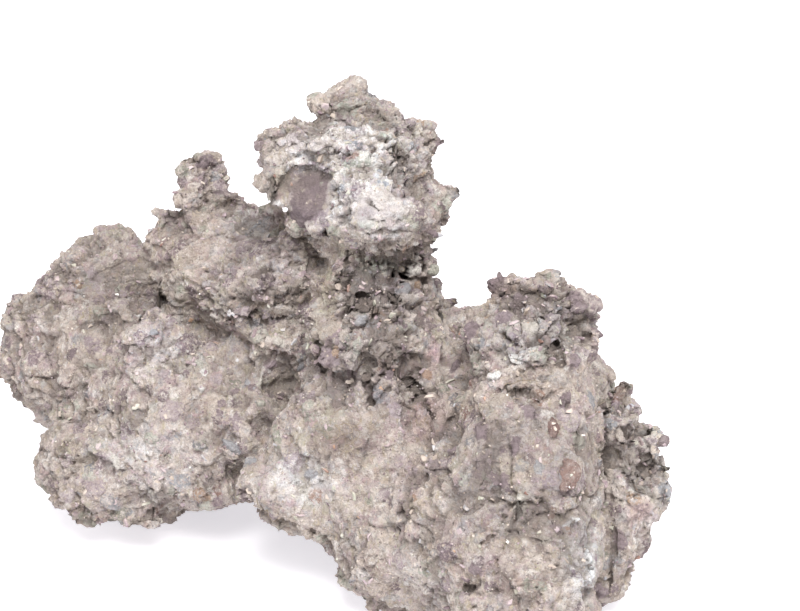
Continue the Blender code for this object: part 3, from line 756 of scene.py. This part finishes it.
class Sighting:
    """The place on the rock at a pixel, or next to it where the pixel is off the rock's edge.

    It has directions across and up the picture, back to the camera, and the size of a pixel there.
    """

    def __init__(self, camera, tree, u, v, turn):
        frame_of_view = camera.matrix_world.to_3x3()
        middle = Vector((PICTURE[0] / 2, PICTURE[1] / 2))
        pixel = Vector((u, v))
        self.place = None
        while self.place is None:
            offset = pixel - middle
            ray = (frame_of_view @ Vector((offset.x / FOCAL_PIXELS, -offset.y / FOCAL_PIXELS, -1))).normalized()
            self.place, self.normal, _, distance = tree.ray_cast(camera.location, ray)
            pixel -= offset.normalized()
        spin = Matrix.Rotation(math.radians(turn), 3, "Z")
        self.across = frame_of_view @ spin @ Vector((1, 0, 0))
        self.up = frame_of_view @ spin @ Vector((0, 1, 0))
        self.back = -ray
        self.pixel = distance / FOCAL_PIXELS

    def closeness(self, point, wide, tall):
        """1 at the place, 0 at the edge of an egg shape that looks so many pixels wide and tall."""
        offset = (point - self.place) / self.pixel
        span = (2 * offset.dot(self.across) / wide, 2 * offset.dot(self.up) / tall)
        depth = 2 * offset.dot(self.back) / (DEPTH_SHARE * max(wide, tall))
        return 1 - math.sqrt(span[0] ** 2 + span[1] ** 2 + depth ** 2)


def around(camera, tree, finder, spot):
    """The vertices in reach of a spot: pairs of a vertex number and its closeness, and the sighting."""
    u, v, wide, tall, turn = spot[:5]
    seen = Sighting(camera, tree, u, v, turn)
    reach = max(wide, tall) / 2 * max(1, DEPTH_SHARE) * seen.pixel
    near = [(number, seen.closeness(point, wide, tall)) for point, number, _ in finder.find_range(seen.place, reach)]
    return [(number, close) for number, close in near if close > 0], seen


def calm_spots(camera, tree):
    """The calm places and the rough ones, as sightings with their size and share."""
    return [
        [(Sighting(camera, tree, u, v, turn), wide, tall, share) for u, v, wide, tall, turn, share in spots.values()]
        for spots in (CALM, ROUGH)
    ]


def calmness(point, calm):
    """How calm the surface is at a point, up to 1. Below 0 it is rougher than usual."""
    wave = CALM_SHARE * smooth_step(0.5 + noise.noise(point / MM / CALM_WAVE))
    still, rough = [
        max(share * smooth_step(seen.closeness(point, wide, tall) / EDGE_SHARE) for seen, wide, tall, share in spots)
        for spots in calm
    ]
    return max(wave, still) - rough


def finder_of(mesh):
    finder = KDTree(len(mesh.vertices))
    for vert in mesh.vertices:
        finder.insert(vert.co, vert.index)
    finder.balance()
    return finder


def press(mesh, camera, raised, sunk):
    """Raises and sinks the spots. Returns how deep each vertex was sunk, from 0 to 1."""
    tree = tree_of(mesh)
    finder = finder_of(mesh)
    moves = {}
    depths = [0] * len(mesh.vertices)
    for spots, sign in ((raised, 1), (sunk, -1)):
        for spot in spots.values():
            near, seen = around(camera, tree, finder, spot)
            way = (seen.normal + seen.back).normalized()
            for number, close in near:
                share = smooth_step(close / EDGE_SHARE)
                moves[number] = moves.get(number, Vector()) + way * sign * spot[5] * share * MM
                depths[number] = max(depths[number], share)
    for number, move in moves.items():
        mesh.vertices[number].co += move
    return depths


def smooth_step(share):
    share = min(1, max(0, share))
    return share * share * (3 - 2 * share)


def chimney_share(point):
    """How much a place belongs to the chimney, from 0 to 1."""
    low, high = BEDDING_HEIGHTS
    return smooth_step((point.z - low) / (high - low))


def bedding(point):
    """Which way the sheets of stone face at a point."""
    size, sway = BEDDING_SWAY
    return (LOW_BEDDING.lerp(HIGH_BEDDING, chimney_share(point)) + noise.noise_vector(point / size) * sway).normalized()


def broken(point, size, height, gap):
    """Broken relief: each block has its own level and tilt, with a crevice round it. Gives height and block."""
    lift = (point - BEDDING_MIDDLE).dot(HIGH_BEDDING) * BEDDING_THINNING * chimney_share(point)
    place = (point + HIGH_BEDDING * lift) / size
    for wave, sway in BLOCK_BENDS:
        place += noise.noise_vector(place / wave) * sway
    distances, centres = noise.voronoi(place)
    block = centres[0]
    tilt = noise.cell_vector(block) * 2 - Vector((1, 1, 1))
    stand = height * (LEVEL_SHARE * noise.cell(block) + TILT_SHARE * (place - block).dot(tilt))
    width = distances[1] - distances[0]
    crevice = max(0, 1 - width / GAP_WIDTH) * max(0, 0.5 + noise.noise(point / GAP_WAVE))
    return stand - gap * crevice, block


def relief(point, fine_share):
    """Height of the relief at a point, with so much of its fine part, and the blocks there from large to small."""
    wave, swell = SWELL
    grain_size, crust = CRUST
    pit_size, depth, start = PITS
    height = swell * noise.fractal(point / wave, 0.9, 2.1, 3)
    fine = crust * noise.fractal(point / grain_size, 0.7, 2.2, 3)
    fine -= depth * max(0, noise.noise(point / pit_size) - start) / (1 - start)
    large = [broken(point, *blocks) for blocks in LARGE_BLOCKS]
    small = [broken(point, *blocks) for blocks in FINE_BLOCKS]
    height += sum(stand for stand, _ in large) + fine_share * (fine + sum(stand for stand, _ in small))
    return height, [block for _, block in large + small]


def block_colour(blocks):
    """Colour of the stone that a point's blocks are broken from, and how clearly it shows."""
    colour, cover = Vector(BLOCK_STONES[0]), 0
    for block, share in zip(blocks, BLOCK_SHARES):
        pick = noise.cell_vector(block + BLOCK_PICK)
        if pick.y < share:
            colour = Vector(BLOCK_STONES[int(pick.x * len(BLOCK_STONES))])
            cover = BLOCK_COVER * (0.5 + 0.5 * pick.z)
    return *colour, cover


def spread_of_rays(rng):
    """Directions round +Z, more of them steep than shallow."""
    rays = []
    for i in range(RAYS):
        height = math.sqrt((i + 0.5) / RAYS)
        side = math.sqrt(1 - height * height)
        angle = rng.uniform(0, math.tau)
        rays.append(Vector((side * math.cos(angle), side * math.sin(angle), height)))
    return rays


def openness(tree, rays, point, outward):
    """How open a place is to the air: 0 deep in a hollow, 1 in the open."""
    lie = outward.to_track_quat("Z", "Y").to_matrix()
    start = point + outward * LIFT * MM
    free = 0
    for ray in rays:
        distance = tree.ray_cast(start, lie @ ray, REACH * MM)[3]
        free += 1 if distance is None else distance / (REACH * MM)
    return free / RAYS


def store(mesh, name, values, kind="FLOAT"):
    layer = mesh.attributes.new(name, kind, "POINT")
    field = {"FLOAT": "value", "FLOAT_COLOR": "color", "FLOAT_VECTOR": "vector"}[kind]
    layer.data.foreach_set(field, values)


def stone_colour(kind, tint):
    """A stone's colour for a tint from 0, its darkest, to 1, its palest."""
    stops = STONES[kind]
    for (low, start), (high, end) in zip(stops, stops[1:]):
        if tint <= high:
            return Vector(start).lerp(Vector(end), (tint - low) / (high - low))
    return Vector(stops[-1][1])


def skin_of_stones(mesh, stones, owners):
    """Colour and cover of the cemented chips at each vertex: 1 for a strewn chip and 2 for a clear one."""
    tree = BVHTree.FromBMesh(stones)
    colours = []
    for vert in mesh.vertices:
        index = tree.find_nearest(vert.co, STONE_SKIN * MM)[2]
        colours.append((*BURIED, 0) if index is None else owners[index])
    return colours


def roughen(mesh, cover, calm):
    """Moves each point along its normal by the relief. Returns heights, how calm it is, and block colours."""
    heights, stillness, colours = [], [], []
    for vert, colour in zip(mesh.vertices, cover):
        height, blocks = relief(vert.co / MM, STONE_RELIEF if colour[3] else 1)
        still = calmness(vert.co, calm)
        heights.append(height * (1 - still))
        stillness.append(still)
        colours.append(block_colour(blocks))
    moved = [vert.co + vert.normal * height * MM for vert, height in zip(mesh.vertices, heights)]
    for vert, place in zip(mesh.vertices, moved):
        place.z = max(place.z, 0)
        vert.co = place
    return heights, stillness, colours


def stain_and_shade_layer(mesh, camera, tree):
    """Colour and strength of the stains and of the painted shade at each vertex."""
    finder = finder_of(mesh)
    layer = [[0, 0, 0, 0] for _ in mesh.vertices]
    for *spot, colour, strength in STAINS_AND_SHADE.values():
        for number, close in around(camera, tree, finder, spot)[0]:
            share = strength * smooth_step(close / STAIN_EDGE)
            old = layer[number]
            total = share + old[3] * (1 - share)
            if total > 0:
                layer[number] = [(c * share + o * old[3] * (1 - share)) / total for c, o in zip(colour, old)] + [total]
    return layer


def drop_islands(bm):
    """Deletes all that doesn't hang together with the largest part of the mesh."""
    unseen = set(bm.verts)
    largest = []
    while unseen:
        front = [unseen.pop()]
        part = front[:]
        while front:
            vert = front.pop()
            new = [other for other in (edge.other_vert(vert) for edge in vert.link_edges) if other in unseen]
            unseen.difference_update(new)
            front += new
            part += new
        if len(part) > len(largest):
            largest = part
    kept = set(largest)
    bmesh.ops.delete(bm, geom=[vert for vert in bm.verts if vert not in kept], context="VERTS")


def scored(mesh):
    """The mesh with a line of edges along each plane where slabs meet, and no slivers beside it."""
    bm = bmesh.new()
    bm.from_mesh(mesh)
    drop_islands(bm)
    for side in SLAB_EDGES:
        for vert in bm.verts:
            if abs(vert.co.x - side) < PULL_TO_PLANE * MM:
                vert.co.x = side
        everything = bm.verts[:] + bm.edges[:] + bm.faces[:]
        bmesh.ops.bisect_plane(
            bm, geom=everything, dist=ON_THE_PLANE * MM, plane_co=(side, 0, 0), plane_no=(1, 0, 0), use_snap_center=True
        )
    return mesh_of(bm, "matrix")


def sunk(place, tree):
    """The place moved within its upright plane to where it lies well under the rough surface. The way there
    doesn't come out of the rock.
    """
    best, depth = place, 0
    for _ in range(SINK_STEPS):
        near, outward, _, distance = tree.find_nearest(place)
        inside = (place - near).dot(outward) < 0
        if inside and distance > depth:
            best, depth = place, distance
        if depth > CAP_DEPTH * MM or (depth and not inside):
            break
        place = place - Vector((0, outward.y, outward.z)).normalized() * SINK_STEP * MM
    return best


def capped(bm, side, way, tree):
    """Closes the mesh on an upright plane. The cap lies deep inside, and a skirt joins it to the rim."""
    rim = []
    for edge in bm.edges:
        if edge.is_boundary and all(abs(vert.co.x - side) < 2 * ON_THE_PLANE * MM for vert in edge.verts):
            rim.append(edge)
    skirt = bmesh.ops.extrude_edge_only(bm, edges=rim)["geom"]
    inner = {item for item in skirt if isinstance(item, bmesh.types.BMVert)}
    ring = [item for item in skirt if isinstance(item, bmesh.types.BMEdge) and inner.issuperset(item.verts)]
    filled = bmesh.ops.triangle_fill(bm, use_beauty=False, use_dissolve=False, edges=ring, normal=(way, 0, 0))
    for face in filled["geom"]:
        if isinstance(face, bmesh.types.BMFace):
            face.normal_update()
            if face.normal.x * way < 0:
                face.normal_flip()
    facing = bm.verts.layers.float_vector["facing"]
    for vert in inner:
        vert.co.x -= way * CAP_INSET * MM
        vert.co = sunk(vert.co.copy(), tree)
        vert[facing] = (0, 0, 0)


def with_normals(mesh):
    """Gives the slab the normals of the whole matrix, so that light shows no seam between slabs."""
    kept = mesh.attributes["facing"]
    whole = [Vector(item.vector) for item in kept.data]
    own = [vert.normal.copy() for vert in mesh.vertices]
    mesh.attributes.remove(kept)
    mesh.normals_split_custom_set_from_vertices([way if way.length > 0.5 else other for way, other in zip(whole, own)])
    return mesh


def slab(ground, low, high, name):
    """The part of the mesh between two upright planes. It is cut and closed while each point is at its clean
    place, from before the relief, and then each point goes back.
    """
    mesh, tree, _, _, clean = ground
    bm = bmesh.new()
    bm.from_mesh(mesh)
    rough = []
    for vert, place in zip(bm.verts, clean):
        rough.append((vert, vert.co.copy()))
        vert.co = place
    beyond = []
    for face in bm.faces:
        x = face.calc_center_median().x + ON_THE_PLANE * MM
        if (low is not None and x < low) or (high is not None and x > high):
            beyond.append(face)
    bmesh.ops.delete(bm, geom=beyond, context="FACES")
    for side, way in ((low, -1), (high, 1)):
        if side is not None:
            capped(bm, side, way, tree)
    for vert, place in rough:
        if vert.is_valid:
            vert.co = place
    bmesh.ops.triangulate(bm, faces=bm.faces[:])
    return with_normals(mesh_of(bm, name))


def make_matrix(camera):
    """The whole matrix as one closed mesh, with its attributes."""
    shaped = evened(merged_solid(), SHAPE_VOXEL, SHAPE_SMOOTHING, "shaped")
    press(shaped, camera, MOUNDS, DENTS)
    rng = random.Random(SEED)
    tree = tree_of(shaped)
    calm = calm_spots(camera, tree)
    chips = []
    for sort in CEMENTED:
        chips += scattered(shaped, sort, plate, rng, calm)
    chips += keyed(camera, tree, rng)
    stones, owners = stones_of(chips, rng)
    whole = bmesh.new()
    whole.from_mesh(shaped)
    solid_stones = mesh_of(stones.copy(), "stones")
    whole.from_mesh(solid_stones)
    mesh = scored(evened(mesh_of(whole, "fused"), FINE_VOXEL, FINE_SMOOTHING, "fine"))
    clean = [vert.co.copy() for vert in mesh.vertices]
    cover = skin_of_stones(mesh, stones, owners)
    stones.free()
    depths = press(mesh, camera, {}, CUTS)
    heights, stillness, blocks = roughen(mesh, cover, calm)
    tree = tree_of(mesh)
    rays = spread_of_rays(random.Random(SEED))
    store(mesh, "open", [openness(tree, rays, v.co, v.normal) for v in mesh.vertices])
    store(mesh, "height", heights)
    store(mesh, "calm", stillness)
    store(mesh, "block", list(itertools.chain.from_iterable(blocks)), "FLOAT_COLOR")
    store(mesh, "cut", depths)
    store(mesh, "stone", list(itertools.chain.from_iterable(cover)), "FLOAT_COLOR")
    store(mesh, "stain_and_shade", list(itertools.chain.from_iterable(stain_and_shade_layer(mesh, camera, tree))), "FLOAT_COLOR")
    mesh.shade_smooth()
    mesh.update()
    store(mesh, "facing", list(itertools.chain.from_iterable(v.normal for v in mesh.vertices)), "FLOAT_VECTOR")
    return mesh, tree, rays, calm, clean


# Chips

def hull(bm, points):
    """Adds the convex hull of the points, and returns its faces."""
    verts = [bm.verts.new(point) for point in points]
    made = bmesh.ops.convex_hull(bm, input=verts)
    inside = [v for v in made["geom_interior"] if isinstance(v, bmesh.types.BMVert)]
    bmesh.ops.delete(bm, geom=list(set(inside)), context="VERTS")
    return [f for f in made["geom"] if isinstance(f, bmesh.types.BMFace) and f.is_valid]


def plate(bm, place, rng):
    """Adds a flat chip with a broken outline, two across and one thick before it is placed."""
    sides = rng.randint(5, 7)
    points = []
    for height, pull in ((-0.5, 0.95), (0.5, rng.uniform(0.7, 0.95))):
        for i in range(sides):
            angle = math.tau * (i + rng.uniform(-0.32, 0.32)) / sides
            reach = pull * rng.uniform(0.72, 1.05)
            points.append((reach * math.cos(angle), reach * math.sin(angle), height * rng.uniform(0.7, 1.1)))
    return hull(bm, [place @ Vector(point) for point in points])


def block(bm, place, rng):
    """Adds a blocky chip, two across and one thick before it is placed."""
    corners = itertools.product((-1, 1), (-1, 1), (-0.5, 0.5))
    points = [Vector([side * rng.uniform(0.3, 1) for side in corner]) for corner in corners]
    return hull(bm, [place @ point for point in points])


def seats(mesh, count, rng):
    """Places on the mesh, evenly by area: where, and which way is out."""
    areas = list(itertools.accumulate(face.area for face in mesh.polygons))
    found = rng.choices(range(len(areas)), cum_weights=areas, k=count)
    return [(mesh.polygons[i].center.copy(), mesh.polygons[i].normal.copy()) for i in found]


def scattered(mesh, sort, shape, rng, calm):
    """Chips of one size strewn over the mesh: each is its shape, its placement, its outside and its stone."""
    count, shortest, longest, widths, thicknesses, tilt, sunk = sort
    kinds = rng.choices(list(SHARES), SHARES.values(), k=count)
    chips = []
    for (point, outward), kind in zip(seats(mesh, count, rng), kinds):
        if rng.random() < calmness(point, calm):
            continue
        facing = bedding(point / MM)
        way = math.copysign(BEDDING_PULL * rng.random(), facing.dot(outward))
        outward = (outward + facing * way).normalized()
        length = rng.uniform(shortest, longest)
        width = length * rng.uniform(*widths)
        thickness = length * rng.uniform(*thicknesses)
        turn = turned_to(outward, rng.uniform(0, math.tau), rng.gauss(0, tilt))
        middle = point + outward * thickness * (0.5 - sunk) * MM
        stretch = Matrix.Diagonal((length / 2 * MM, width / 2 * MM, thickness * MM, 1))
        outside = (point + outward * thickness * MM, outward)
        chips.append((shape, Matrix.Translation(middle) @ turn @ stretch, outside, kind, rng.uniform(*TINTS)))
    return chips


def keyed(camera, tree, rng):
    """The chips that the photograph shows clearly, each where its pixel meets the rock."""
    chips = []
    for kind, u, v, length, width, turn, tint, proud in KEY_CHIPS:
        seen = Sighting(camera, tree, u, v, turn)
        proud *= KEY_RISE
        outward = (seen.normal * NORMAL_SHARE + seen.back * (1 - NORMAL_SHARE)).normalized()
        along = (seen.across - outward * seen.across.dot(outward)).normalized()
        turned = Matrix((along, outward.cross(along), outward)).transposed().to_4x4()
        thickness = KEY_THICKNESS * width * seen.pixel
        stretch = Matrix.Diagonal((length / 2 * seen.pixel, width / 2 * seen.pixel, thickness, 1))
        middle = seen.place + outward * (proud * MM - thickness / 2)
        chips.append((plate, Matrix.Translation(middle) @ turned @ stretch, None, kind, tint))
    return chips


def stones_of(chips, rng):
    """The cemented chips as one bmesh, and the colour of the chip that owns each face."""
    whole = bmesh.new()
    number = whole.faces.layers.int.new("chip")
    for start in range(0, len(chips), BATCH):
        bm = bmesh.new()
        layer = bm.faces.layers.int.new("chip")
        for i, (shape, place, _, _, _) in enumerate(chips[start:start + BATCH]):
            for face in shape(bm, place, rng):
                face[layer] = start + i
        whole.from_mesh(mesh_of(bm, "batch"))
    number = whole.faces.layers.int["chip"]
    bmesh.ops.recalc_face_normals(whole, faces=whole.faces[:])
    colours = [(*stone_colour(kind, tint), 1 if outside else 2) for _, _, outside, kind, tint in chips]
    return whole, [colours[face[number]] for face in whole.faces]


def chips_piece(name, chips, material, ground, rng):
    """One piece of many loose chips, each with its tint and its openness."""
    tree, rays = ground[1:3]
    whole = bmesh.new()
    for layer in ("tint", "open"):
        whole.faces.layers.float.new(layer)
    for start in range(0, len(chips), BATCH):
        bm = bmesh.new()
        tint_layer = bm.faces.layers.float.new("tint")
        open_layer = bm.faces.layers.float.new("open")
        for shape, place, outside, _, tint in chips[start:start + BATCH]:
            air = openness(tree, rays, *outside) if outside else 1
            for face in shape(bm, place, rng):
                face[tint_layer] = tint
                face[open_layer] = air
        whole.from_mesh(mesh_of(bm, "batch"))
    for vert in whole.verts:
        vert.co.z = max(vert.co.z, 0)
    bmesh.ops.recalc_face_normals(whole, faces=whole.faces[:])
    mesh = mesh_of(whole, name)
    mesh.materials.append(material)
    return object_of(mesh, name)


def add_loose_chips(ground):
    rng = random.Random(SEED + 1)
    mesh, calm = ground[0], ground[3]
    chips = scattered(mesh, LOOSE, block, rng, calm) + scattered(mesh, FLAKES, plate, rng, calm)
    pieces = []
    for kind, stops in STONES.items():
        own = [chip for chip in chips if chip[3] == kind]
        pieces.append(chips_piece(kind + "_chips", own, chip_material(kind, stops, 0.6), ground, rng))
    return pieces


# Grit

def crumb(bm, place, rng):
    """Adds a grain of grit: a squat pyramid with its base sunk in the matrix."""
    top = rng.choice((0, 0.45))
    made = bmesh.ops.create_cone(
        bm, cap_ends=True, segments=rng.choice((3, 4)), radius1=1, radius2=top, depth=1.2, matrix=place
    )
    return {face for vert in made["verts"] for face in vert.link_faces}


def add_grit(ground):
    rng = random.Random(SEED + 2)
    pieces = []
    for name, (stone, share) in GRIT.items():
        grains = []
        for point, outward in seats(ground[0], int(GRIT_COUNT * share), rng):
            if rng.random() < GRIT_HELD * calmness(point, ground[3]):
                continue
            size = rng.uniform(*GRIT_SIZES) * MM
            turn = turned_to(outward, rng.uniform(0, math.tau), rng.gauss(0, 0.5))
            stretch = Matrix.Diagonal((size / 2, size / 2 * rng.uniform(0.6, 1), size / 2 * rng.uniform(0.7, 1.3), 1))
            place = Matrix.Translation(point + outward * size * 0.15) @ turn @ stretch
            grains.append((crumb, place, (point, outward), stone, rng.random()))
        pieces.append(chips_piece(name, grains, chip_material(name, STONES[stone], 0.3), ground, rng))
    return pieces


# Rootlets

def root_material():
    """Dry root, straw-coloured and brown by turns."""
    material, tree, shader = started("dry_root", 0.7)
    place = millimetres(tree)
    colour = ramp(tree, grain(tree, place, 3, 3), ROOT_COLOURS)
    tree.links.new(colour, shader.inputs["Base Color"])
    bumped(tree, shader, grain(tree, place, 0.3), 0.05)
    return material


def creeping(tree, start, way, steps, rng):
    """The path of a rootlet that creeps over the rock and lifts off it here and there."""
    point = start
    path = []
    bend = rng.gauss(0, ROOT_BEND)
    for _ in range(steps):
        place, outward, _, _ = tree.find_nearest(point)
        lift = rng.uniform(*ROOT_LIFT) * MM
        path.append(place + outward * lift)
        way = (way - outward * way.dot(outward)).normalized()
        way.rotate(Matrix.Rotation(bend + rng.gauss(0, ROOT_WANDER), 3, outward))
        point = path[-1] + way * ROOT_STEP * MM
    return path


def add_rootlets(camera, ground):
    """Thin roots as one piece: those that the photograph shows, and others strewn over the rock."""
    rng = random.Random(SEED + 3)
    tree = ground[1]
    paths = []
    for u, v, turn, steps in ROOTS:
        seen = Sighting(camera, tree, u, v, turn)
        for _ in range(ROOT_STRANDS):
            aside = seen.up * rng.gauss(0, ROOT_SPREAD) * MM
            way = Matrix.Rotation(rng.gauss(0, 0.4), 3, seen.back) @ seen.across
            paths.append(creeping(tree, seen.place + aside, way, steps, rng))
    for point, outward in seats(ground[0], ROOTS_STREWN, rng):
        way = outward.cross(Vector([rng.gauss(0, 1) for _ in range(3)])).normalized()
        paths.append(creeping(tree, point, way, rng.randint(*ROOT_STEPS), rng))
    curve = bpy.data.curves.new("rootlets", "CURVE")
    curve.dimensions = "3D"
    curve.bevel_depth = ROOT_RADIUS * MM
    curve.bevel_resolution = 0
    curve.use_fill_caps = True
    for path in paths:
        spline = curve.splines.new("POLY")
        spline.points.add(len(path) - 1)
        for number, place in enumerate(path):
            spline.points[number].co = (*place, 1)
            spline.points[number].radius = 1 - 0.6 * number / len(path)
    mesh = applied(object_of(curve, "rootlets"), "rootlets")
    for vert in mesh.vertices:
        vert.co.z = max(vert.co.z, 0)
    mesh.materials.clear()
    mesh.materials.append(root_material())
    return object_of(mesh, "rootlets")


def main():
    camera = add_camera()
    add_light()
    add_floor()
    ground = make_matrix(camera)
    material = matrix_material()
    edges = (None, *SLAB_EDGES, None)
    slabs = []
    for name, low, high in zip(SLABS, edges, edges[1:]):
        mesh = slab(ground, low, high, name)
        mesh.materials.clear()
        mesh.materials.append(material)
        slabs.append(object_of(mesh, name))
    pieces = slabs + add_loose_chips(ground) + add_grit(ground) + [add_rootlets(camera, ground)]
    for piece in pieces:
        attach(piece, "root")
    for piece in slabs:
        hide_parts("rock")
    for piece in pieces:
        print("triangles", piece.name, sum(len(face.vertices) - 2 for face in piece.data.polygons))


main()
